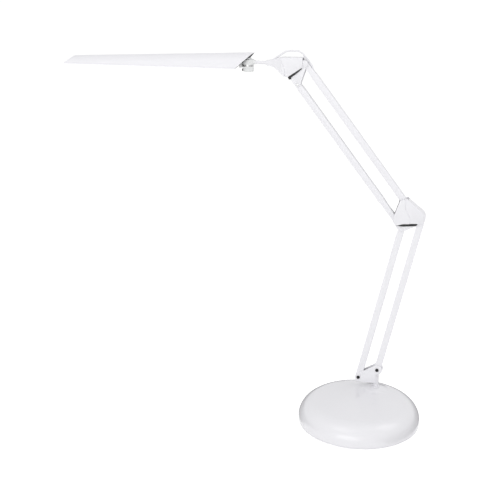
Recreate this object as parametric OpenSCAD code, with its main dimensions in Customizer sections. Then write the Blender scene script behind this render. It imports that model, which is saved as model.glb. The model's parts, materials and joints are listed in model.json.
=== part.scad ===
/* [Base] */
// Diameter of the round base, mm
base_d = 240; // [236:1:250]
// Height of the dome at its middle, mm
base_h = 50; // [49:0.5:52]
// Radius of the rounded edge of the dome, mm
edge_r = 36; // [34:1:38]
// Wall of the base cover, mm
cover_wall = 2.5; // [2:0.1:3]
// Thickness of the iron weight, mm
weight_t = 16; // [12:1:18]

/* [Swivel] */
// Distance of the arm plane behind the middle of the base, mm
arm_y = 58; // [54:1:60]
// Distance of the swivel post to the right of the middle of the base, mm
swivel_x = 24.6; // [24:0.1:25.2]
// Radius of the swivel post inside its bush, mm
swivel_r = 4.25; // [4:0.05:4.5]

/* [Arms] */
// Side of the square arm tubes, mm
bar_w = 10.5; // [9.5:0.1:11]
// Wall of the square arm tubes, mm
bar_wall = 1.2; // [1:0.1:1.5]
// Length of the lower arm between pivots, mm
low_len = 327.5; // [300:0.5:340]
// Lean of the lower arm from upright, degrees
low_lean = 12.63; // [8:0.01:16]
// Length of the upper arm between pivots, mm
up_len = 320; // [300:0.5:340]
// Lean of the upper arm from upright, degrees
up_lean = 37.9; // [30:0.1:45]
// Radius of the pivot pins, mm
pin_r = 2.5; // [2:0.1:2.8]

/* [Links] */
// Thickness of the folded foot bracket, mm
bracket_t = 2; // [1.6:0.1:2]
// Thickness of the link plates, mm
link_t = 1.6; // [1.2:0.1:1.8]
// Wall of the joint hoods, mm
hood_wall = 1.3; // [1.2:0.1:1.5]
// Height of the raised part of the hoods, mm
crease_h = 1.7; // [1:0.1:2]

/* [Head] */
// Length of the lamp shade along its underside, mm
shade_len = 354; // [330:1:380]
// Width of the board that carries the light emitting chips, mm
board_w = 12; // [10:0.5:13]
// Width of the shade at its rear, mm
shade_w = 50; // [46:1:54]
// Width of the shade at its tip, mm
tip_w = 42; // [38:1:46]
// Height of the shade at its rear, mm
shade_h = 29; // [28:0.5:30]
// Height of the shade at its tip, mm
tip_h = 11.5; // [11:0.5:13]
// How far the lower edge falls from the rear to the tip, mm
tip_drop = 2.6; // [2:0.1:3]
// Wall of the shade, mm
shade_wall = 1.4; // [1.2:0.1:1.6]
// Number of light emitting chips on the board
chip_n = 30; // [20:1:32]
// Diameter of the neck rod, mm
rod_d = 6.6; // [6.2:0.1:7]

/* [Lead] */
// Diameter of the electric lead, mm
lead_d = 3.6; // [3:0.1:3.8]

/* [Hidden] */
$fn = 96;
run = 0.06;
fit = 0.05;
side_gap = 0.3;
lead_gap = 0.4;
bar_in = bar_w - 2 * bar_wall;
link_in = bar_w / 2 + side_gap;
link_out = link_in + link_t;
rim_t = 1.25;
hood_in = link_out + rim_t + fit;
hood_out = hood_in + hood_wall;

// Pivots of the lower arm, as x and z in the arm plane
low_off = [37.5, 20];
pl = [-11, 69];
pr = pl + low_off;
low_vec = low_len * [sin(low_lean), cos(low_lean)];
pa = pl + low_vec;
pb = pr + low_vec;
// Pivots of the upper arm
up_off = [13.5, 40];
pc = pa + [-10.6, 15.4];
pd = pc + up_off;
up_vec = up_len * [-sin(up_lean), cos(up_lean)];
pe = pc + up_vec;
pf = pd + up_vec;

// Heights in the base
pad_t = 2;
plate_t = 2;
cover_z = 0.8;
edge_z = 8;
weight_z = pad_t + plate_t + 0.2;
weight_r = base_d / 2 - 20;
swivel_dist = norm([swivel_x, arm_y]);
swivel_turn = -atan2(swivel_x, arm_y);
seat_z = base_h - 0.2;
washer_t = 1;
post_r = bar_w / 2;
post_top = pr[1] - 12;
web_z = pl[1] - 9;
boss_r = 96;
boss_lean = 6;
bush_r = 7.6;
bush_foot_r = 10.8;
bush_z = 6;
chamber_z = 20;
clip_z = chamber_z - 1.7;
inlet_z = 14;
inlet_r = 5.5;
lead_z = 8.6;
screw_r = 2;
screw_pcd_r = weight_r - 12;

// Neck and head
rod_z = pf[1] - 1.5;
rod_l = pf[0] - 99;
rod_r = pf[0] - 56;
tip_l = pf[0] - 75;
turn_x = pf[0] - 110.5;
knuckle_z = rod_z - 4.4;
knuckle_h = 9.6;
shade_z = rod_z - 10.5;
shade_r = pf[0] - 131;
shade_l = shade_r - shade_len;
nose_l = 18;
slant = 32;
board_in = 44;
board_len = shade_len - board_in - 30;
clevis_w = 20;
clevis_l = 15.6;

// Frame of the swivel post, with +Y pointing outwards from the middle of the base
module at_swivel() {
  translate([swivel_x, arm_y, 0]) rotate(swivel_turn) children();
}
// Flat shape in the arm plane, as thick as y0 to y1 across it
module across(y0, y1) {
  translate([0, arm_y + y1, 0]) rotate([90, 0, 0]) linear_extrude(height = y1 - y0) children();
}
module bore(p, r, y0 = -30, y1 = 30) {
  translate([p[0], arm_y + y1, p[1]]) rotate([90, 0, 0]) cylinder(r = r, h = y1 - y0);
}
module along_x(x0, x1, z, r) {
  translate([x0, arm_y, z]) rotate([0, 90, 0]) cylinder(r = r, h = x1 - x0);
}
// Straight part between two round ends, a hair narrower than they are
module band(p, q, r) {
  d = q - p;
  translate(p) rotate(atan2(d[1], d[0])) translate([0, 0.02 - r]) square([norm(d), 2 * r - 0.04]);
}
module stadium(p, q, r) {
  translate(p) circle(r);
  translate(q) circle(r);
  band(p, q, r);
}
// Four cornered link shape with a round ear at each pivot
module eared(pts, r) {
  n = len(pts);
  for (i = [0:n - 1]) {
    translate(pts[i]) circle(r);
    band(pts[i], pts[(i + 1) % n], r);
  }
  polygon(pts);
}

// Round rod bent along a line of points in the arm plane, one bend radius per inner point
function unit(v) = v / norm(v);
function heading(v) = atan2(v[1], v[0]);
function turn(a, b) = let (t = heading(b) - heading(a)) t > 180 ? t - 360 : t < -180 ? t + 360 : t;
function setback(pts, rs, i) =
  i == 0 || i == len(pts) - 1 ? 0
  : rs[i - 1] * tan(abs(turn(pts[i] - pts[i - 1], pts[i + 1] - pts[i])) / 2);
module bent_flat(pts, rs, r) {
  n = len(pts);
  for (i = [0:n - 2]) {
    u = unit(pts[i + 1] - pts[i]);
    a = pts[i] + u * (i == 0 ? 0 : setback(pts, rs, i) - 0.3);
    b = pts[i + 1] - u * (i == n - 2 ? 0 : setback(pts, rs, i + 1) - 0.3);
    translate([a[0], a[1], 0]) rotate([0, 90, heading(u)]) cylinder(r = r - 0.02, h = norm(b - a), $fn = 24);
  }
  for (i = [1:n - 2]) {
    u = unit(pts[i] - pts[i - 1]);
    t = turn(u, pts[i + 1] - pts[i]);
    s = t > 0 ? 1 : -1;
    side = s * [-u[1], u[0]];
    c = pts[i] - u * setback(pts, rs, i) + side * rs[i - 1];
    start = heading(-side);
    translate([c[0], c[1], 0]) rotate([0, 0, s > 0 ? start : start + t])
      rotate_extrude(angle = abs(t), $fn = 96) translate([rs[i - 1], 0]) circle(r, $fn = 24);
  }
}
module bent(pts, rs, r) {
  translate([0, arm_y, 0]) rotate([90, 0, 0]) bent_flat(pts, rs, r);
}

// Points on the axis of each arm tube, s from its first named pivot, t to its right
low_u = unit(low_vec);
up_u = unit(up_vec);
function on_low(p, s, t = 0) = p + s * low_u + t * [low_u[1], -low_u[0]];
function on_up(p, s, t = 0) = p + s * up_u + t * [up_u[1], -up_u[0]];

// Routes of the lead in the arm plane
foot_pts = [[swivel_x, web_z + 3.5], [swivel_x, web_z + 12.5], pr + [-12.5, -2],
  on_low(pr, 24), on_low(pr, 32)];
foot_rs = [9, 9, 14];
elbow_pts = [on_up(pd, 40), on_up(pd, 17), pd + [-8, -9], pd + [4, -27], pb + [-13.5, -0.5],
  on_low(pb, -20), on_low(pb, -40)];
elbow_rs = [9, 8, 12, 9, 14];
clip_t = pd + [0.27, -21.4];
loop_pts = [[rod_l + 24, rod_z], [tip_l + 3.5, rod_z], pf + [-50.5, 12.5], pf + [-36, 22], pf + [-9, 22.3],
  on_up(pf, -2, bar_w / 2 + lead_d / 2 + 0.6), on_up(pf, -11, bar_w / 2 + lead_d / 2 + 0.6),
  on_up(pf, -32), on_up(pf, -40)];
loop_rs = [10, 40, 20, 18, 30, 14, 14];

// Dome of the base as half a section
module dome_half(cut) {
  r = base_d / 2 - cut;
  e = edge_r - cut;
  h = base_h - cut;
  a = r - e;
  b = edge_z;
  s = (e * e - a * a - (b - h) * (b - h)) / (2 * (b - h) + 2 * e);
  c = h - s;
  k = s / norm([a, b - c]);
  intersection() {
    translate([0, c]) circle(s, $fn = 1440);
    union() {
      polygon([[0, 0], [a, 0], [a, b], [a * k * 1.02, c + (b - c) * k * 1.02], [0, h + 4]]);
      translate([a, b]) circle(e, $fn = 192);
    }
    translate([0, cut > 0 ? 0 : cover_z]) square([r, h + 5]);
  }
}

module base_cover() {
  color([0.95, 0.95, 0.94]) difference() {
    union() {
      rotate_extrude($fn = 180) dome_half(0);
      at_swivel() {
        intersection() {
          translate([0, -boss_r * sin(boss_lean), seat_z + 0.3 - boss_r * cos(boss_lean)])
            sphere(r = boss_r, $fn = 360);
          translate([0, -10, base_h - 14]) cylinder(r = 50, h = 30);
        }
        translate([0, 0, base_h - 10]) cylinder(r = bush_r + 3, h = seat_z - base_h + 10);
      }
    }
    rotate_extrude($fn = 180) dome_half(cover_wall);
    at_swivel() {
      cylinder(r = bush_r + fit, h = seat_z + 5);
      translate([0, 0, seat_z]) cylinder(r = bush_r + 4, h = 5);
      translate([0, base_d / 2 - 30 - swivel_dist, inlet_z]) rotate([-90, 0, 0])
        cylinder(r = inlet_r + fit, h = 40);
    }
  }
}
module base_weight() {
  color([0.25, 0.25, 0.26]) difference() {
    translate([0, 0, weight_z]) cylinder(r = weight_r, h = weight_t);
    at_swivel() {
      cylinder(r = bush_foot_r + 0.3, h = 60);
      translate([-4, 0, weight_z - 1]) cube([8, 60, 12.8]);
    }
    for (a = [0, 120, 240]) rotate(a + 90) translate([-screw_pcd_r, 0, 0])
      cylinder(r = screw_r + fit, h = 16, $fn = 32);
  }
}
module base_plate() {
  color([0.6, 0.6, 0.62]) difference() {
    translate([0, 0, pad_t]) cylinder(r = base_d / 2 - 5, h = plate_t);
    for (a = [0, 120, 240]) rotate(a + 90) translate([-screw_pcd_r, 0, 0]) {
      translate([0, 0, pad_t - 1]) cylinder(r = screw_r + fit, h = plate_t + 2, $fn = 32);
      translate([0, 0, pad_t - 1]) cylinder(r = screw_r * 2 + fit, h = 2.2, $fn = 48);
    }
  }
}
module base_pad() {
  color([0.12, 0.12, 0.12]) cylinder(r = base_d / 2 - 8, h = pad_t);
}
module base_screw(a) {
  color([0.7, 0.7, 0.72]) rotate(a + 90) translate([-screw_pcd_r, 0, pad_t]) {
    cylinder(r = screw_r * 2, h = 1.2, $fn = 48);
    cylinder(r = screw_r, h = 12, $fn = 32);
  }
}
module socket_bush() {
  color([0.85, 0.85, 0.84]) at_swivel() difference() {
    union() {
      translate([0, 0, bush_z]) cylinder(r = bush_r, h = seat_z - bush_z);
      translate([0, 0, bush_z]) cylinder(r = bush_foot_r, h = chamber_z + 2 - bush_z);
    }
    cylinder(r = swivel_r + run, h = 60);
    cylinder(r = bush_foot_r - 2, h = chamber_z);
    translate([-3, 0, 0]) cube([6, 20, lead_z + 4]);
  }
}
module power_inlet() {
  y1 = base_d / 2 - 1.2 - swivel_dist;
  y0 = weight_r + 1 - swivel_dist;
  hole = (y1 - y0) / 2;
  color([0.08, 0.08, 0.08]) at_swivel() translate([0, 0, inlet_z]) rotate([-90, 0, 0]) difference() {
    translate([0, 0, y0]) cylinder(r = inlet_r, h = y1 - y0);
    difference() {
      translate([0, 0, y1 - hole]) cylinder(r = 2.8, h = 20, $fn = 48);
      translate([0, 0, y1 - hole - 1]) cylinder(r = 1, h = hole, $fn = 32);
    }
  }
}
module base_lead() {
  color([0.93, 0.93, 0.93]) at_swivel() rotate([90, 0, 90])
    bent_flat([[0, web_z + 3.3], [0, lead_z], [25, lead_z], [weight_r - 3 - swivel_dist, inlet_z],
      [weight_r + 0.8 - swivel_dist, inlet_z]], [6, 8, 8], lead_d / 2);
}

// Foot bracket: a folded channel whose two eared cheeks rise from a web round the swivel post
module lower_bracket() {
  toe_r = 7.2;
  ear_r = 10;
  rise = heading(low_off) + 90 + asin((ear_r - toe_r) / norm(low_off));
  up = [cos(rise), sin(rise)];
  color([0.94, 0.94, 0.93]) difference() {
    union() {
      for (y = [-link_in - bracket_t, link_in]) across(y, y + bracket_t) {
        translate(pl) circle(toe_r);
        translate(pr) circle(ear_r);
        polygon([pl + up * (toe_r - 0.02), pl + [-toe_r + 0.02, 0], pl + [-5.2, -9], [swivel_x, web_z],
          [swivel_x, pr[1] - 4], pr, pr + up * (ear_r - 0.02)]);
      }
      translate([pl[0] - 5, arm_y - link_in - 0.2, web_z])
        cube([swivel_x - pl[0] + 5, 2 * link_in + 0.4, bracket_t]);
    }
    translate([swivel_x, arm_y, 0]) cylinder(r = post_r + fit, h = post_top + 1);
    for (p = [pl, pr]) bore(p, pin_r + fit);
  }
}
module swivel_pin() {
  color([0.75, 0.75, 0.76]) difference() {
    at_swivel() difference() {
      union() {
        translate([0, 0, 16]) cylinder(r = swivel_r, h = post_top - 17);
        translate([0, 0, seat_z + washer_t]) cylinder(r = post_r, h = post_top - seat_z - washer_t);
      }
      cylinder(r = lead_d / 2 + lead_gap, h = web_z + 4, $fn = 48);
      translate([0, 0, clip_z - 0.1]) difference() {
        cylinder(r = swivel_r + 1, h = 1.6);
        translate([0, 0, -1]) cylinder(r = swivel_r - 1, h = 4);
      }
    }
    bent(foot_pts, foot_rs, lead_d / 2 + lead_gap);
  }
}
module swivel_clip() {
  color([0.6, 0.6, 0.62]) at_swivel() translate([0, 0, clip_z]) difference() {
    cylinder(r = swivel_r + 2.8, h = 1.4);
    translate([0, 0, -1]) cylinder(r = swivel_r - 1 + fit, h = 4);
    translate([-20, -1.5, -1]) cube([20, 3, 4]);
  }
}
module swivel_washer() {
  color([0.85, 0.85, 0.85]) at_swivel() translate([0, 0, seat_z]) difference() {
    cylinder(r = bush_r - 0.8, h = washer_t);
    translate([0, 0, -1]) cylinder(r = swivel_r + 0.1, h = 10);
  }
}

// Square tube with solid rounded ends bored for its pins
module bar(p, q) {
  d = q - p;
  difference() {
    across(-bar_w / 2, bar_w / 2) stadium(p, q, bar_w / 2);
    across(-bar_in / 2, bar_in / 2)
      translate(p) rotate(heading(d)) translate([6.6, -bar_in / 2]) square([norm(d) - 13.2, bar_in]);
    for (c = [p, q]) bore(c, pin_r + run);
    children();
  }
}
module lower_inner_bar() {
  color([0.94, 0.94, 0.94]) bar(pl, pa);
}
module lower_outer_bar() {
  color([0.94, 0.94, 0.94]) bar(pr, pb) {
    bent(foot_pts, foot_rs, lead_d / 2 + lead_gap);
    bent(elbow_pts, elbow_rs, lead_d / 2 + lead_gap);
  }
}
module upper_inner_bar() {
  color([0.94, 0.94, 0.94]) bar(pc, pe);
}
module upper_outer_bar() {
  color([0.94, 0.94, 0.94]) bar(pd, pf) {
    bent(elbow_pts, elbow_rs, lead_d / 2 + lead_gap);
    bent(loop_pts, loop_rs, lead_d / 2 + lead_gap);
  }
}
module straight_lead(a, b) {
  d = b - a;
  color([0.93, 0.93, 0.93]) translate([a[0], arm_y, a[1]]) rotate([0, 90 - heading(d), 0])
    cylinder(r = lead_d / 2, h = norm(d), $fn = 24);
}

// Pivot pin through two plates, with a head of its own size at each end
module pivot_pin(p, out, head_r, head_t, tone) {
  color(tone) {
    bore(p, pin_r, -out, out);
    if (head_t > 0) {
      bore(p, head_r, -out - head_t, -out);
      bore(p, head_r, out, out + head_t);
    }
  }
}

// Elbow link
spacer_p = pb + [-15.5, 18.5];
module elbow_plate(s) {
  color([0.92, 0.92, 0.92]) difference() {
    across(s > 0 ? link_in : -link_out, s > 0 ? link_out : -link_in) eared([pa, pb, pd, pc], 5.8);
    for (p = [pa, pb, pc, pd]) bore(p, pin_r + fit);
    bore(spacer_p, 1.5 + fit);
  }
}
module elbow_outline() {
  polygon([pd + [-7.5, 1], pd + [-1.5, 4.4], pd + [7, 6], pd + [10, 3], pb + [-12.6, 28.1], pb + [0, 19.3],
    pb + [4.9, 14.4], pb + [6.9, 9.4], pb + [6.9, -1.1], pb + [4.4, -4.4], pb + [-6, -6.6], pb + [-9.5, -5.9],
    pa + [3.5, 12.1], pa + [-7, 8.6], pa + [-12.6, 9.6], pa + [-14, 13], pa + [-14.2, 22],
    pa + [-13.1, 31.4]]);
}
module elbow_cavity() {
  k = hood_wall;
  polygon([pd + [-40, -70], pd + [-40, 30], pd + [10 - k * 1.2, 30], pd + [10 - k * 1.2, 3 - k * 0.6],
    pb + [-12.6 - k * 0.7, 28.1 - k * 1.1], pb + [-k * 0.6, 19.3 - k], pb + [4.9 - k, 14.4 - k * 0.6],
    pb + [6.9 - k, 9.4 - k * 0.3], pb + [6.9 - k, 1], pb + [20, 1], pb + [20, -60]]);
}
module elbow_hood() {
  crease = [[-60, -60], [-60, 60], [-37, 60], [-36, 22], [-33, 15.5], [-29.5, 11], [-27, 5.5],
    [-26.4, 0], [-26.4, -60]];
  color([0.95, 0.95, 0.94]) difference() {
    union() {
      intersection() {
        across(-hood_out, hood_out) elbow_outline();
        union() {
          translate([pb[0] - 100, arm_y - 30, pb[1] - 50]) cube([100, 60, 150]);
          translate([pb[0] - 1, arm_y, pb[1] - 50]) linear_extrude(height = 150)
            polygon([[-1, -hood_out - 1], [1, -hood_out - 1], [8, -hood_out + 2.6], [9, -hood_out + 4],
              [9, hood_out - 4], [8, hood_out - 2.6], [1, hood_out + 1], [-1, hood_out + 1]]);
        }
      }
      across(-hood_out - crease_h, hood_out + crease_h) intersection() {
        elbow_outline();
        translate(pb + [5, 0]) polygon(crease);
        translate(pb + [5, 0]) polygon([[-61, -60], [-61, 60], [-36.5, 60], [-26, 26], [-26, -60]]);
      }
    }
    across(-hood_in, hood_in) intersection() {
      elbow_cavity();
      translate(pb) polygon([[-200, -100], [-200, 100], [-4, 100], [-4, -100]]);
    }
    across(-link_out - 0.2, link_out + 0.2) elbow_cavity();
  }
}
// Dark moulding formed round the link plates, which fills the hood and shows as a rim at its mouths
module elbow_spacer() {
  color([0.05, 0.05, 0.05]) {
    for (y = [-link_out - rim_t, link_out]) across(y, y + rim_t)
      polygon([pb + [-6.5, -7.2], pb + [-9.2, -10.6], pa + [6, 6.6], pa + [-1, 6.4], pa + [-8.6, 7.2],
        pa + [-11, 10.5],
        pa + [-12.6, 14], pa + [-12.9, 24], pa + [-14, 31.8], pd + [-8.4, 1], pd + [2, -6], pb + [-12, 20],
        pb + [-5, 8], pb + [-5, 0]]);
    bore(spacer_p, 4, -link_in, link_in);
    bore(spacer_p, 1.5, -link_out - 0.5, link_out + 0.5);
  }
}

// Head link
module head_plate(s) {
  color([0.92, 0.92, 0.92]) difference() {
    across(s > 0 ? link_in : -link_out, s > 0 ? link_out : -link_in)
      eared([pe, pf, pf + [-30, 4], pf + [-39, -3], pf + [-33, -14]], 4.9);
    for (p = [pe, pf]) bore(p, pin_r + fit);
    bore(pf + [-38, -9], 1.5 + fit);
    bore(pf + [-24, 4], 1.5 + fit);
  }
}
module head_outline(k) {
  polygon([pf + [-75, 3.2 - k], pf + [-67, 4.1 - k], pf + [-56, 7.1 - k], pf + [-46, 9.8 - k],
    pf + [-4, 10.9 - k],
    pf + [-3.5, -6.5], pf + [-29, -23.8], pf + [-34 + k * 0.4, -27 + k], pf + [-40 + k * 0.5, -24.5 + k],
    pf + [-47, -18.6 + k * 1.2], pf + [-54, -12.4 + k * 1.2], pf + [-61, -8.2 + k],
    pf + [-68, -6.6 + k], pf + [-75, -6.2 + k]]);
}
module head_hood() {
  crease = [[-100, -60], [-100, 30], [-47, 30], [-46, 8], [-43, 0], [-40, -6], [-38.4, -10],
    [-37.8, -15], [-37.8, -60]];
  ho = hood_out + crease_h;
  color([0.95, 0.95, 0.94]) difference() {
    union() {
      across(-hood_out, hood_out) intersection() {
        head_outline(0);
        translate(pf) polygon([[-47, -60], [-47, 30], [0, 30], [0, -60]]);
      }
      intersection() {
        across(-ho, ho) intersection() {
          head_outline(0);
          translate(pf) polygon(crease);
        }
        translate([pf[0], arm_y, pf[1] - 50]) linear_extrude(height = 100)
          polygon([[-76, -4.7], [-68, -5.4], [-60, -7.1], [-50, -9.6], [-43, -ho], [-30, -ho],
            [-30, ho], [-43, ho], [-50, 9.6], [-60, 7.1], [-68, 5.4], [-76, 4.7]]);
      }
    }
    intersection() {
      across(-hood_in, hood_in) union() {
        intersection() {
          head_outline(hood_wall);
          translate(pf + [-57, -60]) square([60, 100]);
        }
        translate(pf) polygon([[-30, 9.9 - hood_wall], [10, 11.2 - hood_wall], [10, -60], [-28, -60],
          [-31.5, -26.5], [-33.4, -25.8]]);
      }
      translate([pf[0], arm_y, pf[1] - 80]) linear_extrude(height = 130)
        polygon([[-57, -6.1], [-50, -7.2], [-43, -hood_in], [20, -hood_in], [20, hood_in],
          [-43, hood_in], [-50, 7.2], [-57, 6.1]]);
    }
    along_x(tip_l - 5, pf[0] - 50, rod_z, rod_d / 2 + run);
    intersection() {
      bent(loop_pts, loop_rs, lead_d / 2 + lead_gap);
      translate([pf[0] - 70, 0, pf[1] - 20]) cube([45, 100, 60]);
    }
  }
}
// Dark moulding formed round the link plates, which ties them and shows as a rim at the hood's mouth
module head_spacer() {
  color([0.05, 0.05, 0.05]) {
    for (p = [pf + [-38, -9], pf + [-24, 4]]) {
      bore(p, 3.4, -link_in, link_in);
      bore(p, 1.5, -link_out - 0.5, link_out + 0.5);
    }
    across(-3, 3) stadium(pf + [-38, -9], pf + [-24, 4], 2.4);
    for (y = [-link_out - rim_t, link_out]) across(y, y + rim_t)
      translate(pf) polygon([[-6.3, -8.2], [-5, -9.6], [-14, -18], [-25.2, -26.4], [-25.6, -29.6],
        [-29.5, -30.6], [-31.6, -26.4],
        [-41, -14], [-41, -6], [-30, 7], [-16, 7], [-11, 0]]);
  }
}

// Neck
module neck_rod() {
  color([0.93, 0.93, 0.93]) difference() {
    along_x(turn_x + 8, rod_r, rod_z, rod_d / 2);
    along_x(turn_x, rod_r + 5, rod_z, lead_d / 2 + lead_gap);
    translate([tip_l - 0.5, arm_y - 2.4, rod_z]) cube([13, 4.8, 10]);
  }
}
module neck_collar() {
  color([0.7, 0.7, 0.72]) difference() {
    along_x(rod_r - 0.7, rod_r + 2.3, rod_z, rod_d / 2 + 1.9);
    along_x(rod_r - 5, rod_r, rod_z, rod_d / 2 + fit);
    along_x(rod_r - 5, rod_r + 5, rod_z, lead_d / 2 + lead_gap);
  }
}
module neck_knuckle() {
  color([0.82, 0.82, 0.82]) difference() {
    union() {
      translate([turn_x, arm_y, knuckle_z]) cylinder(r = 10.5, h = knuckle_h);
      along_x(turn_x, turn_x + 13.5, rod_z, 4.3);
    }
    translate([turn_x, arm_y, 0]) cylinder(r = 3 + run, h = 2000);
    along_x(turn_x + 7.9, turn_x + 20, rod_z, rod_d / 2 + fit);
    along_x(turn_x, turn_x + 20, rod_z, lead_d / 2 + lead_gap);
    translate([turn_x - 20, arm_y - 2.2, rod_z - 2.2]) cube([20, 4.4, 4.4]);
  }
}
module neck_lead() {
  straight_lead([turn_x + 4.2, rod_z], [rod_l + 23.8, rod_z]);
}

// Head: the shade is a tilted cone cut by the plane of its underside, with slanted ends
function arc_r(w, h) = (h * h + w * w / 4) / (2 * h);
module shade_cone(k, l0, l1) {
  ra = arc_r(tip_w, tip_h);
  rb = arc_r(shade_w, shade_h);
  za = tip_h - ra;
  zb = shade_h - rb;
  len0 = shade_len + slant - nose_l;
  tilt = atan2(zb - za, len0);
  slope = (rb - ra) / norm([len0, zb - za]);
  translate([shade_l + nose_l, arm_y, shade_z + za]) rotate([0, 90 - tilt, 0])
    translate([0, 0, -l0])
      cylinder(r1 = ra - slope * l0 - k, r2 = rb + slope * l1 - k,
        h = norm([len0, zb - za]) + l0 + l1, $fn = 128);
}
module head_shade() {
  color([0.96, 0.96, 0.95]) difference() {
    intersection() {
      shade_cone(0, 30, 40);
      across(-40, 40) polygon([[shade_l, shade_z - tip_drop], [shade_l + nose_l, shade_z + tip_h],
        [shade_l + nose_l, shade_z + 60], [shade_r + slant * 60 / shade_h, shade_z + 60], [shade_r, shade_z]]);
    }
    intersection() {
      shade_cone(shade_wall, 30, 40);
      across(-40, 40) polygon([[shade_l + 3, shade_z - 5], [shade_l + 3, shade_z - tip_drop],
        [shade_l + nose_l + 1.2, shade_z + tip_h - shade_wall], [shade_l + nose_l + 1.2, shade_z + 60],
        [shade_r + 150, shade_z + 60], [shade_r + 150, shade_z - 5]]);
    }
  }
}
// Half width of the hollow of the shade at height z above its underside and place x from the tip
function cone_at(x) = (x - nose_l) / (shade_len + slant - nose_l);
function cone_r(x) = arc_r(tip_w, tip_h) + (arc_r(shade_w, shade_h) - arc_r(tip_w, tip_h)) * cone_at(x);
function cone_z(x) = tip_h - arc_r(tip_w, tip_h)
  + (shade_h - arc_r(shade_w, shade_h) - tip_h + arc_r(tip_w, tip_h)) * cone_at(x);
function half_at(x, z) = sqrt(pow(cone_r(x) - shade_wall - 0.35, 2) - pow(z - cone_z(x), 2));
module plan_slab(x0, x1, z0, z1, trim = 0) {
  a = min(half_at(x0, z0), half_at(x0, z1)) - trim;
  b = min(half_at(x1, z0), half_at(x1, z1)) - trim;
  translate([shade_l, arm_y, shade_z + z0]) linear_extrude(height = z1 - z0)
    polygon([[x0, -a], [x1, -b], [x1, b], [x0, a]]);
}
module diffuser() {
  color([0.97, 0.97, 0.95]) plan_slab(11, shade_len - 16, 1, 3);
}
module led_board() {
  color([0.9, 0.9, 0.88]) translate([shade_l + board_in, arm_y - board_w / 2, shade_z + 6.4])
    cube([board_len, board_w, 1.2]);
}
module led_chips() {
  step = (board_len - 20) / (chip_n - 1);
  color([0.95, 0.85, 0.35]) for (i = [0:chip_n - 1])
    translate([shade_l + board_in + 10 + i * step - 1.5, arm_y - 1.5, shade_z + 5.5]) cube([3, 3, 0.9]);
}
module led_carrier() {
  w = board_w + 4;
  flange_t = 1.5;
  color([0.7, 0.7, 0.72]) translate([shade_l + board_in - 2, arm_y, shade_z + 7.6]) {
    translate([0, -w / 2, 0]) cube([board_len + 6, w, 1.4]);
    for (y = [-w / 2, w / 2 - flange_t]) translate([0, y, -4.4]) cube([board_len + 6, flange_t, 4.5]);
  }
}
module head_end_cap() {
  depth = 13;
  color([0.04, 0.04, 0.04]) difference() {
    intersection() {
      shade_cone(shade_wall + 0.1, 30, 40);
      across(-40, 40) polygon([[shade_r - depth - 3, shade_z + 0.2], [shade_r + 0.8, shade_z + 0.2],
        [shade_r + 0.8 + slant * 1.3, shade_z + 0.2 + shade_h * 1.3],
        [shade_r - depth - 3 + slant * 1.3, shade_z + 0.2 + shade_h * 1.3]]);
    }
    intersection() {
      shade_cone(shade_wall + 2.2, 30, 40);
      across(-40, 40) polygon([[shade_r - depth, shade_z - 5], [shade_r + 60, shade_z - 5],
        [shade_r + 100, shade_z + 60], [shade_r - depth + slant * 65 / shade_h, shade_z + 60]]);
    }
    translate([turn_x, arm_y, 0]) cylinder(r = 11.2, h = 2000);
    translate([shade_r - 40, arm_y - 2.5, rod_z - 2.5]) cube([60, 5, 5]);
    translate([turn_x - clevis_l, arm_y - clevis_w / 2, shade_z + 0.7]) cube([clevis_l, clevis_w, 18.3]);
  }
}
module head_clevis() {
  z0 = shade_z - 0.7;
  z1 = knuckle_z + knuckle_h + 0.4;
  color([0.8, 0.8, 0.8]) difference() {
    union() {
      translate([turn_x, arm_y, z0]) cylinder(r = clevis_w / 2, h = 3.3);
      translate([turn_x - clevis_l, arm_y - clevis_w / 2, z0 + 1.4]) cube([clevis_l, clevis_w, 1.9]);
      translate([turn_x - clevis_l, arm_y - clevis_w / 2, z0 + 1.4])
        cube([clevis_l - 11, clevis_w, z1 + 1 - z0]);
      translate([turn_x, arm_y, z1]) cylinder(r = 6, h = 2.4);
      translate([turn_x - clevis_l, arm_y - 6, z1]) cube([clevis_l, 12, 2.4]);
    }
    translate([turn_x, arm_y, 0]) cylinder(r = 3 + fit, h = 2000);
    translate([turn_x - 20, arm_y - 2.5, rod_z - 2.5]) cube([9, 5, 5]);
  }
}
module head_swivel_pin() {
  z0 = shade_z - 0.7;
  z1 = knuckle_z + knuckle_h + 2.8;
  color([0.7, 0.7, 0.72]) difference() {
    translate([turn_x, arm_y, z0 + 0.4]) cylinder(r = 3, h = z1 - z0 - 0.4, $fn = 64);
    translate([turn_x - 5, arm_y - 2.2, rod_z - 2.2]) cube([10, 4.4, 4.4]);
  }
}
module swivel_disc() {
  z0 = shade_z + 2.6;
  color([0.55, 0.55, 0.55]) difference() {
    translate([turn_x, arm_y, z0]) cylinder(r = 10, h = knuckle_z - z0 - 0.02);
    translate([turn_x, arm_y, 0]) cylinder(r = 3 + run, h = 2000);
  }
}
module switch_housing() {
  z1 = shade_z - 0.7;
  z0 = z1 - 6.6;
  color([0.8, 0.8, 0.8]) difference() {
    union() {
      translate([turn_x, arm_y, z0 + 0.9]) cylinder(r = 10.4, h = z1 - z0 - 0.9);
      translate([turn_x, arm_y, z0]) cylinder(r1 = 9.4, r2 = 10.4, h = 0.9);
    }
    translate([turn_x - 12, arm_y - 4.2, z0 + 0.9]) cube([9, 8.4, 4.6]);
  }
}
module switch_button() {
  z0 = shade_z - 7.3;
  color([0.03, 0.03, 0.03]) translate([turn_x - 11.6, arm_y - 4.1, z0 + 1]) cube([6.4, 8.2, 4.4]);
}

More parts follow.
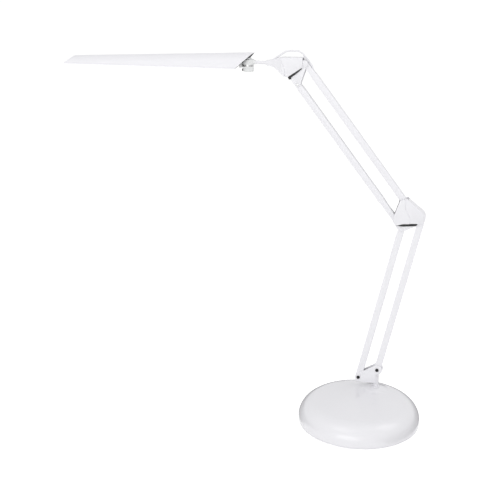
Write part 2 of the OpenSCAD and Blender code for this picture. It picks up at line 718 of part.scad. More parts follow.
module base_screw_1() { base_screw(0); }
module base_screw_2() { base_screw(120); }
module base_screw_3() { base_screw(240); }
dark = [0.12, 0.12, 0.13];
white = [0.93, 0.93, 0.93];
module foot_pin_inner() { pivot_pin(pl, link_in + bracket_t, 3.3, 2, dark); }
module foot_pin_outer() { pivot_pin(pr, link_in + bracket_t, 3.3, 2, dark); }
module elbow_pin_a() { pivot_pin(pa, link_out, 3.4, 1, white); }
module elbow_pin_b() { pivot_pin(pb, link_out, 0, 0, dark); }
module elbow_pin_c() { pivot_pin(pc, link_out, 0, 0, dark); }
module elbow_pin_d() { pivot_pin(pd, link_out, 0, 0, dark); }
module head_pin_e() { pivot_pin(pe, link_out, 2.6, 0.8, [0.5, 0.5, 0.5]); }
module head_pin_f() { pivot_pin(pf, link_out, 6.6, 1.1, white); }
module elbow_plate_front() { elbow_plate(-1); }
module elbow_plate_back() { elbow_plate(1); }
module head_plate_front() { head_plate(-1); }
module head_plate_back() { head_plate(1); }
function part_of(pts, i, j) = [for (k = [i:j]) pts[k]];
module foot_lead() {
  color([0.93, 0.93, 0.93]) bent(foot_pts, foot_rs, lead_d / 2);
}
module lower_lead() { straight_lead(on_low(pr, 32.2), on_low(pb, -40.2)); }
module elbow_lead_upper() {
  color([0.93, 0.93, 0.93])
    bent(concat(part_of(elbow_pts, 0, 2), [clip_t]), part_of(elbow_rs, 0, 1), lead_d / 2);
}
module elbow_lead_lower() {
  u = unit(elbow_pts[3] - elbow_pts[2]);
  color([0.93, 0.93, 0.93])
    bent(concat([clip_t + 0.2 * u], part_of(elbow_pts, 3, 6)), part_of(elbow_rs, 2, 4), lead_d / 2);
}
module upper_lead() { straight_lead(on_up(pd, 40.2), on_up(pf, -40.2)); }
module head_lead() {
  color([0.93, 0.93, 0.93]) bent(loop_pts, loop_rs, lead_d / 2);
}

base_cover();
base_weight();
base_plate();
base_pad();
base_screw_1();
base_screw_2();
base_screw_3();
socket_bush();
power_inlet();
base_lead();
lower_bracket();
swivel_pin();
swivel_clip();
swivel_washer();
foot_pin_inner();
foot_pin_outer();
foot_lead();
lower_inner_bar();
lower_outer_bar();
lower_lead();
elbow_plate_front();
elbow_plate_back();
elbow_hood();
elbow_spacer();
elbow_pin_a();
elbow_pin_b();
elbow_pin_c();
elbow_pin_d();
elbow_lead_upper();
elbow_lead_lower();
upper_inner_bar();
upper_outer_bar();
upper_lead();
head_plate_front();
head_plate_back();
head_hood();
head_spacer();
head_pin_e();
head_pin_f();
head_lead();
neck_rod();
neck_collar();
neck_knuckle();
neck_lead();
head_shade();
head_end_cap();
head_clevis();
head_swivel_pin();
swivel_disc();
led_carrier();
led_board();
led_chips();
diffuser();
switch_housing();
switch_button();
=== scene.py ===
import json
import math

import bmesh
import bpy
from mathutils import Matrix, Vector


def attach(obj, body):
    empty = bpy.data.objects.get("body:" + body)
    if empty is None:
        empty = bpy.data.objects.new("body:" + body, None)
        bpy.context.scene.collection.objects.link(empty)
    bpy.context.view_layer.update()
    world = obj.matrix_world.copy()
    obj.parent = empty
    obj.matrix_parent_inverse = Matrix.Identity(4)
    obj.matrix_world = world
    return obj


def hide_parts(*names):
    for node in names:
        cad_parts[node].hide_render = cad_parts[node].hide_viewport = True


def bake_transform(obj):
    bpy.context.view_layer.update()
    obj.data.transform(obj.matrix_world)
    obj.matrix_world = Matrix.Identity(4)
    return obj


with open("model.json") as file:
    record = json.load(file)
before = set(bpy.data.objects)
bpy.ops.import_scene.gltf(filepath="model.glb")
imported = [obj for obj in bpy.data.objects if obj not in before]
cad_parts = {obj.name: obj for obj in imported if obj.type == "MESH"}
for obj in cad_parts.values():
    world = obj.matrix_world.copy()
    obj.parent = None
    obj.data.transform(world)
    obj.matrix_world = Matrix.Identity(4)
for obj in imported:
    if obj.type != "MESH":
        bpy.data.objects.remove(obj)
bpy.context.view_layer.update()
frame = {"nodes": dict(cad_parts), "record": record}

MM = 0.001
# The plane of the arms, in mm along y
ARM_Y = 58.0
BODY_OF = {n: b for b, names in frame["record"]["behaviour"]["bodies"].items() for n in names}
SLOT_OF = {s["node"]: s["material_slot"] for s in frame["record"]["subparts"]}


# Camera
AZIMUTH, PITCH = math.radians(15), math.radians(18.42)
AIM = Vector((-0.225, 0, 0.339))
DISTANCE = 1.953
back = Vector((math.sin(AZIMUTH) * math.cos(PITCH), -math.cos(AZIMUTH) * math.cos(PITCH), math.sin(PITCH)))
camera = bpy.data.objects.new("Camera", bpy.data.cameras.new("Camera"))
bpy.context.scene.collection.objects.link(camera)
camera.data.lens = 72
camera.data.sensor_width = 36
camera.data.clip_start, camera.data.clip_end = 0.05, 60
camera.location = AIM + DISTANCE * back
camera.rotation_mode = "QUATERNION"
camera.rotation_quaternion = (-back).to_track_quat("-Z", "Y")
bpy.context.scene.camera = camera
bpy.context.scene.view_settings.view_transform = "Standard"


# Shader maths
class Value:
    """A socket of a shader tree. Arithmetic on it adds Math nodes."""

    def __init__(self, tree, socket):
        self.tree, self.socket = tree, socket

    def _math(self, operation, a, b, clamp=False):
        return add(self.tree, "ShaderNodeMath", {"operation": operation, "use_clamp": clamp}, {0: a, 1: b})

    def __add__(self, other):
        return self._math("ADD", self, other)

    def __radd__(self, other):
        return self._math("ADD", other, self)

    def __sub__(self, other):
        return self._math("SUBTRACT", self, other)

    def __rsub__(self, other):
        return self._math("SUBTRACT", other, self)

    def __mul__(self, other):
        return self._math("MULTIPLY", self, other)

    def __rmul__(self, other):
        return self._math("MULTIPLY", other, self)

    def clamped(self):
        return self._math("ADD", self, 0.0, clamp=True)


def add(tree, kind, settings=None, inputs=None, output=0):
    """One node: its settings first, then the values or links of its sockets. Returns one of its outputs."""
    node = tree.nodes.new(kind)
    for key, value in (settings or {}).items():
        setattr(node, key, value)
    for key, value in (inputs or {}).items():
        if isinstance(value, Value):
            tree.links.new(value.socket, node.inputs[key])
        else:
            node.inputs[key].default_value = value
    return Value(tree, node.outputs[output])


def rgba(colour):
    return (*colour, 1.0)


class Finish:
    """A material on Object coordinates. Its parts are added by name and joined to one surface shader."""

    def __init__(self, name, **fixed):
        self.material = bpy.data.materials.new(name)
        self.material.use_nodes = True
        self.tree = self.material.node_tree
        self.shader = self.tree.nodes["Principled BSDF"]
        self.put(**fixed)
        self.place = add(self.tree, "ShaderNodeTexCoord", output="Object")

    def noise(self, scale, detail=3.0, rough=0.55, stretch=None):
        where = self.place
        if stretch:
            where = add(self.tree, "ShaderNodeMapping", inputs={"Vector": where, "Scale": stretch})
        return add(self.tree, "ShaderNodeTexNoise", {"noise_dimensions": "3D"},
                   {"Vector": where, "Scale": scale, "Detail": detail, "Roughness": rough})

    def cells(self, scale):
        return add(self.tree, "ShaderNodeTexVoronoi", inputs={"Vector": self.place, "Scale": scale})

    def mix(self, amount, a, b):
        """A colour between a and b. Inputs 0, 6 and 7 are the factor and the colours, output 2 the result."""
        values = {0: amount, 6: rgba(a), 7: rgba(b)}
        return add(self.tree, "ShaderNodeMix", {"data_type": "RGBA"}, values, output=2)

    def put(self, **values):
        for key, value in values.items():
            socket = self.shader.inputs[key.replace("_", " ")]
            if isinstance(value, Value):
                self.tree.links.new(value.socket, socket)
            else:
                socket.default_value = value

    def bump(self, height, strength, distance):
        """Height pushes the surface out by up to distance metres, to the strength given."""
        values = {"Strength": strength, "Distance": distance, "Height": height}
        normal = add(self.tree, "ShaderNodeBump", inputs=values)
        self.tree.links.new(normal.socket, self.shader.inputs["Normal"])
        return self


def grey(v, warm=0.0):
    """A grey of the given lightness, turned towards yellow by warm."""
    return (v, v * (1 - 0.3 * warm), v * (1 - warm))


def cool(v):
    """A white of the given lightness with the faint violet cast of the lamp's paint."""
    return (v, v * 0.995, v * 1.03)


def moulded_gloss():
    """Glossy white moulding of the base: faint orange peel, and a soft unevenness of tone and gloss."""
    f = Finish("moulded_white_gloss", IOR=1.5, Coat_Weight=0.3, Coat_Roughness=0.06)
    peel, tone = f.noise(190, 2.0), f.noise(240, 3.0, 0.6)
    f.put(Base_Color=f.mix(tone, cool(0.842), cool(0.838)), Roughness=0.25 + tone * 0.03)
    return f.bump(peel, 0.03, 0.0002).material


def powder_coat(name, tone, rough):
    """Satin white powder coat: a fine pebbled skin over a slow unevenness of the film."""
    f = Finish(name, IOR=1.5)
    pebbles, film, tint = f.noise(1500, 2.0, 0.6), f.noise(60, 3.0), f.noise(9, 3.0)
    f.put(Base_Color=f.mix(tint, cool(tone), cool(tone * 0.985)),
          Roughness=rough + (film - 0.5) * 0.06 + (pebbles - 0.5) * 0.06)
    return f.bump(pebbles + film * 0.6, 0.05, 0.00008).material


def moulded_satin(name, tones, rough):
    """Satin moulded plastic: spark eroded grain, and flow marks too faint to see from afar."""
    f = Finish(name, IOR=1.46)
    grainy, flow = f.cells(2600), f.noise(22, 4.0, 0.6, (1, 1, 0.35))
    f.put(Base_Color=f.mix(flow, tones, tuple(t * 0.97 for t in tones)),
          Roughness=rough + (grainy - 0.4) * 0.08 + (flow - 0.5) * 0.06)
    return f.bump(grainy * 0.8 + flow * 0.2, 0.06, 0.00008).material


def turned_steel(name, tone, rough):
    """Turned or drawn steel: fine lines one way, and a slow unevenness of gloss."""
    f = Finish(name, Metallic=1.0)
    lines, wide = f.noise(2600, 2.0, 0.7, (0.06, 1, 1)), f.noise(70, 3.0)
    f.put(Base_Color=f.mix(lines, grey(tone), grey(tone * 0.78)),
          Roughness=rough + (lines - 0.5) * 0.22 + (wide - 0.5) * 0.1)
    return f.bump(lines, 0.10, 0.0001).material


def blackened_steel():
    """Blackened screw heads: nearly black oxide, worn to a warmer grey in specks."""
    f = Finish("blackened_steel", Metallic=0.6)
    worn, grain = f.noise(420, 4.0, 0.7), f.noise(1800, 2.0)
    amount = ((worn - 0.56) * 5.0).clamped()
    f.put(Base_Color=f.mix(amount, (0.012, 0.012, 0.013), (0.07, 0.066, 0.06)),
          Roughness=0.34 + grain * 0.18)
    return f.bump(grain, 0.15, 0.0001).material


def cast_surface():
    """Rough grey iron of the weight, with sand grain, pits and a little rust."""
    f = Finish("sand_cast_iron", Metallic=0.6)
    sand, pits, rust = f.noise(520, 5.0, 0.7), f.cells(260), f.noise(40, 4.0)
    rusty = ((rust - 0.5) * 3.0).clamped()
    f.put(Base_Color=f.mix(rusty, (0.05, 0.05, 0.052), (0.10, 0.06, 0.04)),
          Roughness=0.62 + sand * 0.25)
    return f.bump(sand + pits * 0.6, 0.5, 0.0006).material


def foot_rubber():
    """Black rubber pad: a fine grain that grips the desk, and a little dust."""
    f = Finish("foot_rubber", IOR=1.5)
    grain, dust = f.cells(1400), f.noise(18, 4.0)
    dusty = ((dust - 0.5) * 2.2).clamped()
    f.put(Base_Color=f.mix(dusty, grey(0.018), grey(0.05)), Roughness=0.72 + grain * 0.15)
    return f.bump(grain, 0.4, 0.0003).material


def lead_sheath():
    """White flexible sheath of the lead: smooth, with faint extrusion marks."""
    f = Finish("lead_sheath", IOR=1.48)
    marks, age = f.noise(900, 2.0, 0.5, (0.2, 0.2, 1)), f.noise(30, 3.0)
    f.put(Base_Color=f.mix(age, cool(0.86), cool(0.83)), Roughness=0.36 + marks * 0.14)
    return f.bump(marks, 0.08, 0.0002).material


def opal_sheet():
    """Opal diffuser: milky acrylic with fine lengthwise prisms."""
    f = Finish("opal_sheet", IOR=1.49)
    milk, grain = f.noise(34, 3.0), f.noise(1500, 2.0)
    across = add(f.tree, "ShaderNodeSeparateXYZ", inputs={0: f.place}, output=1)
    prism_width = 0.0009
    prisms = add(f.tree, "ShaderNodeMath", {"operation": "SINE"}, {0: across * (2 * math.pi / prism_width)})
    f.put(Base_Color=f.mix(milk, grey(0.86), grey(0.83, 0.012)), Roughness=0.30 + grain * 0.12)
    return f.bump(prisms * 0.5 + grain * 0.2, 0.18, 0.00015).material


def circuit_board():
    """White solder resist with slightly raised copper runs below it."""
    f = Finish("circuit_board", IOR=1.5)
    along = add(f.tree, "ShaderNodeSeparateXYZ", inputs={0: f.place}, output=1)
    run_spacing = 0.004
    runs = add(f.tree, "ShaderNodeMath", {"operation": "SINE"}, {0: along * (2 * math.pi / run_spacing)})
    raised = ((runs - 0.2) * 6.0).clamped()
    f.put(Base_Color=f.mix(raised, grey(0.80, 0.02), grey(0.74, 0.08)),
          Roughness=0.34 + f.noise(800) * 0.1)
    return f.bump(raised, 0.3, 0.0001).material


def phosphor():
    """Yellow phosphor of the light chips under clear gel."""
    f = Finish("phosphor_gel", IOR=1.5, Coat_Weight=0.6)
    grain = f.cells(3000)
    f.put(Base_Color=f.mix(grain, (0.85, 0.62, 0.10), (0.92, 0.74, 0.25)),
          Roughness=0.25 + grain * 0.1)
    return f.bump(grain, 0.1, 0.0001).material


FINISHES = {
    "white_gloss": moulded_gloss(),
    "white_paint": powder_coat("satin_white_paint", 0.87, 0.36),
    "white_steel": powder_coat("painted_pin_ends", 0.85, 0.40),
    "white_plastic": moulded_satin("moulded_white_satin", cool(0.87), 0.34),
    "grey_plastic": moulded_satin("moulded_pale_grey", (0.85, 0.86, 0.86), 0.42),
    "black_plastic": moulded_satin("moulded_black", (0.012, 0.012, 0.013), 0.42),
    "steel": turned_steel("turned_steel", 0.58, 0.30),
    "dark_steel": blackened_steel(),
    "iron": cast_surface(),
    "dark_rubber": foot_rubber(),
    "lead_sheath": lead_sheath(),
    "light_metal": turned_steel("drawn_aluminium", 0.72, 0.36),
    "board_white": circuit_board(),
    "chip_yellow": phosphor(),
    "opal": opal_sheet(),
}


# Places in the plane of the arms
def lean(degrees, length):
    """A vector of the given length, leaning over from upright towards the right."""
    return Vector((math.sin(math.radians(degrees)), math.cos(math.radians(degrees)))) * length


# Pivots and heights as in the part's source, in mm, as x and z in the plane of the arms
FOOT_INNER, LOW, UP = Vector((-11, 69)), lean(12.63, 327.5), lean(-37.9, 320)
FOOT_OUTER = FOOT_INNER + Vector((37.5, 20))
ELBOW_A, ELBOW_B = FOOT_INNER + LOW, FOOT_OUTER + LOW
ELBOW_C = ELBOW_A + Vector((-10.6, 15.4))
ELBOW_D = ELBOW_C + Vector((13.5, 40))
HEAD_F = ELBOW_D + UP
ROD_Z = HEAD_F.y - 1.5
ROD_END, ROD_SLOT = HEAD_F.x - 99, HEAD_F.x - 75
BAR, LEAD = 10.5, 3.6
POST_X = 24.6
LEAD_STEP, LEAD_SIDES = 1.5, 20
# Distances in metres under which points are joined, and under which a cut passes through a point
WELD, CUT_TOLERANCE = 2e-6, 1e-7
# Angles in degrees: edges sharper than the first are rounded, faces under the second are shaded as one
SHARP_ANGLE, SMOOTH_ANGLE = 32, 40


def on_bar(pivot, vector, along, aside=0.0):
    """A place beside a bar: along mm from its pivot, and aside mm to the right of its line."""
    u = vector.normalized()
    return pivot + u * along + Vector((u.y, -u.x)) * aside


# Pieces from the frame
def linked(name, mesh):
    obj = bpy.data.objects.new(name, mesh)
    bpy.context.scene.collection.objects.link(obj)
    return obj


def plain_mesh(obj):
    """Gives the object its evaluated mesh, with the modifiers worked in."""
    graph = bpy.context.evaluated_depsgraph_get()
    graph.update()
    mesh = bpy.data.meshes.new_from_object(obj.evaluated_get(graph), depsgraph=graph)
    obj.modifiers.clear()
    obj.data = mesh


def open_edges(mesh):
    bm = bmesh.new()
    bm.from_mesh(mesh)
    count = sum(1 for e in bm.edges if not e.is_manifold)
    bm.free()
    return count


def smooth_by_angle(mesh):
    mesh.shade_smooth()
    mesh.set_sharp_from_angle(angle=math.radians(SMOOTH_ANGLE))


def welded(node, flat):
    """A copy of a CAD node's mesh with its triangles joined. Faces that turn by less than flat degrees become
    one."""
    mesh = frame["nodes"][node].data.copy()
    bm = bmesh.new()
    bm.from_mesh(mesh)
    bmesh.ops.remove_doubles(bm, verts=bm.verts[:], dist=WELD)
    if flat:
        bmesh.ops.dissolve_limit(bm, angle_limit=math.radians(flat), use_dissolve_boundaries=False,
                                 verts=bm.verts[:], edges=bm.edges[:])
    bm.to_mesh(mesh)
    bm.free()
    mesh.materials.clear()
    mesh.materials.append(FINISHES[SLOT_OF[node]])
    return mesh


def fuller(mesh, pivot, vector, width, near, far):
    """Widens a bar in the plane of the arms to width mm, from near mm past its pivot to far mm before its
    other end."""
    u, length = vector.normalized(), vector.length
    n = Vector((u.y, -u.x))
    bm = bmesh.new()
    bm.from_mesh(mesh)
    for along in (near - RAMP, near, length - far, length - far + RAMP):
        cut = pivot + u * along
        bmesh.ops.bisect_plane(bm, geom=bm.verts[:] + bm.edges[:] + bm.faces[:], dist=CUT_TOLERANCE,
                               plane_co=(cut.x * MM, 0, cut.y * MM), plane_no=(u.x, 0, u.y))
    for v in bm.verts:
        place = Vector((v.co.x, v.co.z)) / MM - pivot
        along = place.dot(u)
        amount = max(0.0, min(1.0, (along - near) / RAMP + 1, (length - far - along) / RAMP + 1))
        shift = n * (place.dot(n) * (width / BAR - 1) * amount * MM)
        v.co.x, v.co.z = v.co.x + shift.x, v.co.z + shift.y
    bm.to_mesh(mesh)
    bm.free()


def unrounded(node, flat):
    """A welded copy of the node, widened where it is one of the bars."""
    mesh = welded(node, flat)
    if node in BARS:
        fuller(mesh, *BARS[node])
    return mesh


def rounded(node, width, segments, flat):
    """The node with its edges rounded to width mm, as a piece that stands for it."""
    obj = linked(node + "_shown", unrounded(node, flat))
    bevel = obj.modifiers.new("Rounded edges", "BEVEL")
    bevel.width, bevel.segments = width * MM, segments
    bevel.limit_method, bevel.angle_limit = "ANGLE", math.radians(SHARP_ANGLE)
    bevel.use_clamp_overlap = True
    plain_mesh(obj)
    if open_edges(obj.data):
        print("left unrounded:", node, open_edges(obj.data))
        obj.data = unrounded(node, flat)
    smooth_by_angle(obj.data)
    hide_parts(node)
    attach(obj, BODY_OF[node])


# The bars look wider in the photograph than in the part's source. In mm: the width they are shown with, the
# length over which it is reached, and for each bar its pivot, its vector, its width, and how far from its
# pivots that width starts and ends
LOWER_WIDTH, UPPER_WIDTH = 13.4, 12.2
RAMP = 7
BARS = {
    "lower_inner_bar": (FOOT_INNER, LOW, LOWER_WIDTH, 11, 10),
    "lower_outer_bar": (FOOT_OUTER, LOW, LOWER_WIDTH, 11, 10),
    "upper_inner_bar": (ELBOW_C, UP, UPPER_WIDTH, 46, 10),
    "upper_outer_bar": (ELBOW_D, UP, UPPER_WIDTH, 9, 30),
}

for node, obj in frame["nodes"].items():
    obj.data.materials.clear()
    obj.data.materials.append(FINISHES[SLOT_OF[node]])

# The width of each piece's rounded edges in mm, their segments, and the angle in degrees under which its
# faces are made one
ROUNDED = {
    "base_cover": (0.5, 2, 0.0), "base_pad": (0.4, 2, 0.25), "base_plate": (0.2, 1, 0.25),
    "base_weight": (1.0, 2, 0.25), "socket_bush": (0.3, 2, 0.25), "power_inlet": (0.3, 2, 0.25),
    "lower_bracket": (0.5, 3, 0.25), "swivel_pin": (0.3, 2, 0.25), "swivel_washer": (0.3, 2, 0.25),
    "foot_pin_inner": (0.5, 3, 0.25), "foot_pin_outer": (0.5, 3, 0.25),
    "lower_inner_bar": (0.9, 3, 0.25), "lower_outer_bar": (0.9, 3, 0.25),
    "upper_inner_bar": (0.9, 3, 0.25), "upper_outer_bar": (0.9, 3, 0.25),
    "elbow_plate_front": (0.35, 2, 0.25), "elbow_plate_back": (0.35, 2, 0.25),
    "elbow_hood": (0.9, 4, 0.25), "elbow_spacer": (0.2, 2, 0.25), "elbow_pin_a": (0.3, 2, 0.25),
    "head_plate_front": (0.35, 2, 0.25), "head_plate_back": (0.35, 2, 0.25), "head_hood": (0.9, 4, 0.25),
    "head_spacer": (0.2, 2, 0.25), "head_pin_e": (0.3, 2, 0.25), "head_pin_f": (0.4, 2, 0.25),
    "neck_rod": (0.3, 2, 0.25), "neck_knuckle": (0.5, 3, 0.25), "head_shade": (0.35, 2, 0.1),
    "head_end_cap": (0.3, 2, 0.1), "head_clevis": (0.3, 2, 0.25), "swivel_disc": (0.2, 1, 0.25),
    "diffuser": (0.3, 2, 0.25), "switch_housing": (0.5, 3, 0.25), "switch_button": (0.4, 3, 0.25),
}
for node, (width, segments, flat) in ROUNDED.items():
    rounded(node, width, segments, flat)


# The lead
LEAD_CLEARANCE = 0.6
OUTSIDE = BAR / 2 + LEAD / 2 + LEAD_CLEARANCE
CLIP = ELBOW_D + Vector((0.27, -21.4))
# Each route is its corners in mm, and the radius of the bend at each inner corner
FOOT_ROUTE = ([Vector((POST_X, 63.5)), Vector((POST_X, 72.5)), FOOT_OUTER + Vector((-12.5, -2)),
               on_bar(FOOT_OUTER, LOW, 24), on_bar(FOOT_OUTER, LOW, 32)], [9, 9, 14])
ELBOW_UPPER = ([on_bar(ELBOW_D, UP, 40), on_bar(ELBOW_D, UP, 17), ELBOW_D + Vector((-8, -9)), CLIP], [9, 8])
ELBOW_LOWER = ([CLIP, ELBOW_D + Vector((4, -27)), ELBOW_B + Vector((-13.5, -0.5)),
                on_bar(ELBOW_B, LOW, -20), on_bar(ELBOW_B, LOW, -40)], [12, 9, 14])
LOOP = ([Vector((ROD_END + 24, ROD_Z)), Vector((ROD_SLOT + 3.5, ROD_Z)), HEAD_F + Vector((-50.5, 12.5)),
         HEAD_F + Vector((-36, 22)), HEAD_F + Vector((-9, 22.3)), on_bar(HEAD_F, UP, -2, OUTSIDE),
         on_bar(HEAD_F, UP, -11, OUTSIDE), on_bar(HEAD_F, UP, -32), on_bar(HEAD_F, UP, -40)],
        [10, 40, 20, 18, 30, 14, 14])


def rounded_route(points, radii):
    """Points every LEAD_STEP mm along the line through points, with a round bend of its radius at each inner
    one."""
    line = [points[0]]

    def walk(to):
        start = line[-1]
        count = max(1, round((to - start).length / LEAD_STEP))
        line.extend(start.lerp(to, i / count) for i in range(1, count + 1))

    for before, corner, after, radius in zip(points, points[1:], points[2:], radii):
        a, b = (corner - before).normalized(), (after - corner).normalized()
        turn = math.atan2(a.x * b.y - a.y * b.x, a.dot(b))
        back_off = radius * math.tan(abs(turn) / 2)
        walk(corner - a * back_off)
        side = Vector((-a.y, a.x)) * (1 if turn > 0 else -1)
        centre = corner - a * back_off + side * radius
        count = max(3, round(abs(turn) * radius / LEAD_STEP))
        for i in range(1, count + 1):
            c, s = math.cos(turn * i / count), math.sin(turn * i / count)
            spoke = -side * radius
            line.append(centre + Vector((spoke.x * c - spoke.y * s, spoke.x * s + spoke.y * c)))
    walk(points[-1])
    return line


def in_plane(p):
    return Vector((p.x, ARM_Y, p.y)) * MM


def lead_tree():
    """Geometry Nodes: a round lead of a given radius along the line that it is given."""
    tree = bpy.data.node_groups.new("lead_along_route", "GeometryNodeTree")
    face = tree.interface
    face.new_socket("Route", in_out="INPUT", socket_type="NodeSocketGeometry")
    for name, kind, value in (("Radius", "NodeSocketFloat", LEAD / 2 * MM),
                              ("Spacing", "NodeSocketFloat", LEAD_STEP * MM),
                              ("Sides", "NodeSocketInt", LEAD_SIDES)):
        face.new_socket(name, in_out="INPUT", socket_type=kind).default_value = value
    face.new_socket("Finish", in_out="INPUT", socket_type="NodeSocketMaterial")
    face.new_socket("Geometry", in_out="OUTPUT", socket_type="NodeSocketGeometry")

    def node(kind, settings=None, **links):
        made = tree.nodes.new(kind)
        for key, value in (settings or {}).items():
            setattr(made, key, value)
        for key, value in links.items():
            socket = made.inputs[key.replace("_", " ")]
            if isinstance(value, bpy.types.NodeSocket):
                tree.links.new(value, socket)
            else:
                socket.default_value = value
        return made

    given = tree.nodes.new("NodeGroupInput").outputs
    line = node("GeometryNodeMeshToCurve", Mesh=given["Route"]).outputs[0]
    even = node("GeometryNodeResampleCurve", {"mode": "LENGTH"}, Curve=line,
                Length=given["Spacing"]).outputs[0]
    ring = node("GeometryNodeCurvePrimitiveCircle", {"mode": "RADIUS"}, Resolution=given["Sides"],
                Radius=given["Radius"]).outputs[0]
    tube = node("GeometryNodeCurveToMesh", Curve=even, Profile_Curve=ring, Fill_Caps=True).outputs[0]
    whole = node("GeometryNodeRealizeInstances", Geometry=tube).outputs[0]
    painted = node("GeometryNodeSetMaterial", Geometry=whole, Material=given["Finish"]).outputs[0]
    out = tree.nodes.new("NodeGroupOutput")
    tree.links.new(painted, out.inputs["Geometry"])
    return tree


LEAD_TREE = lead_tree()


def lead(name, points):
    """A stretch of the lead along points, in the row frame."""
    line = bpy.data.meshes.new(name)
    line.from_pydata(points, [(i, i + 1) for i in range(len(points) - 1)], [])
    obj = linked(name, line)
    modifier = obj.modifiers.new("Lead", "NODES")
    modifier.node_group = LEAD_TREE
    sockets = {i.name: i.identifier for i in LEAD_TREE.interface.items_tree if i.in_out == "INPUT"}
    modifier[sockets["Finish"]] = FINISHES["lead_sheath"]
    modifier[sockets["Sides"]] = LEAD_SIDES
    plain_mesh(obj)
    smooth_by_angle(obj.data)
    return obj


def bending_lead(name, node, route, start, end):
    """A stretch of the lead along route that crosses one joint; it stands for node, which is hidden. Start
    and end are not used.
    """
    obj = lead(name, [in_plane(p) for p in route])
    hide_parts(node)
    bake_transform(obj)


bending_lead("foot_lead_bent", "foot_lead", rounded_route(*FOOT_ROUTE),
             Vector((POST_X - 4, 78)), on_bar(FOOT_OUTER, LOW, 14))
bending_lead("elbow_lead_below", "elbow_lead_lower", rounded_route(*ELBOW_LOWER),
             ELBOW_D + Vector((3, -25)), on_bar(ELBOW_B, LOW, -14))
bending_lead("elbow_lead_above", "elbow_lead_upper", rounded_route(*ELBOW_UPPER),
             ELBOW_D + Vector((-3, -16)), on_bar(ELBOW_D, UP, 12))
# The loop over the head joint is two stretches. They meet at its top, about TOP_BACK mm before the outer
# pivot
TOP_BACK, SIDEWAYS_COST = 24, 0.01
loop = rounded_route(*LOOP)
top = max(range(len(loop)), key=lambda i: loop[i].y - abs(loop[i].x - HEAD_F.x + TOP_BACK) * SIDEWAYS_COST)
bending_lead("head_lead_front", "head_lead", loop[:top + 1],
             loop[top], loop[0] + Vector((16, 0)))
bending_lead("head_lead_rear", "head_lead", loop[top:], loop[top],
             on_bar(HEAD_F, UP, -9, OUTSIDE))


# Stage
def whitened(tree, level):
    """How much white a surface or the sky adds for the rays that show it directly, and in glossy pieces."""
    path = tree.nodes.new("ShaderNodeLightPath")
    direct = Value(tree, path.outputs["Is Camera Ray"])
    glossy = Value(tree, path.outputs["Is Glossy Ray"])
    seen_in = (glossy + Value(tree, path.outputs["Is Transmission Ray"])).clamped()
    return (direct + seen_in).clamped() * level


def plain_floor():
    """A matt white floor that keeps the lamp's shadow."""
    floor = linked("Floor", bpy.data.meshes.new("Floor"))
    reach = 12.0
    corners = [(-reach, -reach, 0), (reach, -reach, 0), (reach, reach, 0), (-reach, reach, 0)]
    floor.data.from_pydata(corners, [], [(0, 1, 2, 3)])
    material = bpy.data.materials.new("floor_white")
    material.use_nodes = True
    tree = material.node_tree
    tree.nodes.remove(tree.nodes["Principled BSDF"])
    matt = add(tree, "ShaderNodeBsdfDiffuse", inputs={"Color": (0.90, 0.90, 0.90, 1)})
    lift = whitened(tree, FLOOR_LIFT)
    lit = add(tree, "ShaderNodeEmission", inputs={"Color": (1, 1, 1, 1), "Strength": lift})
    both = add(tree, "ShaderNodeAddShader", inputs={0: matt, 1: lit})
    tree.links.new(both.socket, tree.nodes["Material Output"].inputs["Surface"])
    floor.data.materials.append(material)


def white_world(front, behind):
    """White where it is seen. As a light it is brighter on the camera's side, so rounded forms darken to
    their edges."""
    world = bpy.data.worlds.new("World")
    bpy.context.scene.world = world
    world.use_nodes = True
    tree = world.node_tree
    place = add(tree, "ShaderNodeTexCoord", output="Generated")
    toward = add(tree, "ShaderNodeVectorMath", {"operation": "DOT_PRODUCT"},
                 {0: place, 1: BRIGHT_SIDE}, output="Value")
    shade = (toward * 0.5 + 0.5).clamped()
    level = shade * (front - behind) + behind
    white = whitened(tree, 1.0)
    background = tree.nodes["Background"]
    background.inputs["Color"].default_value = (1, 1, 1, 1)
    tree.links.new((white + (1.0 - white) * level).socket, background.inputs["Strength"])


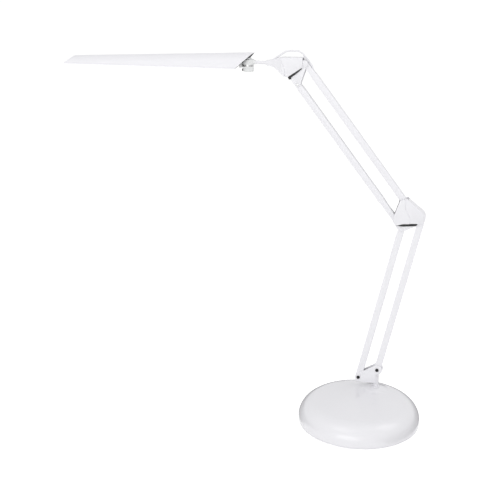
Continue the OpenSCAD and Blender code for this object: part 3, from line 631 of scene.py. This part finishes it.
def dark_ring(inner, outer, height, first, last):
    """A dark sheet lying round the base from the first to the last angle in degrees, with a low wall at its
    outer edge. Only glossy pieces show it, as a darker line along their outline."""
    count = 48
    above_floor = 0.0006
    turns = [math.radians(first + (last - first) * i / count) for i in range(count + 1)]
    profile = ((inner, above_floor), (outer, above_floor), (outer, height))
    points = [(r * math.cos(t), r * math.sin(t), z) for t in turns for r, z in profile]
    corners = [3 * i + k for i in range(count) for k in (0, 1)]
    sheet = bpy.data.meshes.new("Dark_ring")
    sheet.from_pydata(points, [], [(c, c + 1, c + 4, c + 3) for c in corners])
    material = bpy.data.materials.new("ring_black")
    material.use_nodes = True
    material.node_tree.nodes["Principled BSDF"].inputs["Base Color"].default_value = (0.01, 0.01, 0.01, 1)
    sheet.materials.append(material)
    obj = linked("Dark_ring", sheet)
    for ray in ("camera", "diffuse", "transmission", "shadow"):
        setattr(obj, "visible_" + ray, False)


def softbox(name, place, aim, width, height, power):
    """A lamp of width by height metres at place, turned towards aim."""
    light = bpy.data.lights.new(name, "AREA")
    light.shape, light.size, light.size_y, light.energy = "RECTANGLE", width, height, power
    obj = bpy.data.objects.new(name, light)
    bpy.context.scene.collection.objects.link(obj)
    obj.location = place
    obj.rotation_mode = "QUATERNION"
    obj.rotation_quaternion = (Vector(aim) - Vector(place)).to_track_quat("-Z", "Y")
    return obj


# What the floor adds to its lit white where it is seen, and the direction of the world's brighter side
FLOOR_LIFT = 0.45
BRIGHT_SIDE = (-0.25, -0.90, 0.36)
plain_floor()
white_world(front=0.80, behind=0.44)
# Lamps: place, aim, width and height in metres, and power in watts
softbox("Front", (-0.6, -3.1, 0.8), (-0.2, 0, 0.35), 2.2, 1.3, 19)
softbox("Top_left", (-0.9, -1.5, 2.5), (-0.2, 0, 0.3), 1.6, 1.4, 7)
softbox("Top_right", (1.6, 0.1, 2.3), (0, 0, 0.4), 1.4, 1.4, 9)
back_right = softbox("Back_right", (1.6, 2.2, 1.5), (-0.1, 0, 0.4), 1.4, 1.4, 7)
back_right.visible_glossy = False
dark_ring(inner=0.13, outer=0.55, height=0.07, first=-50, last=200)
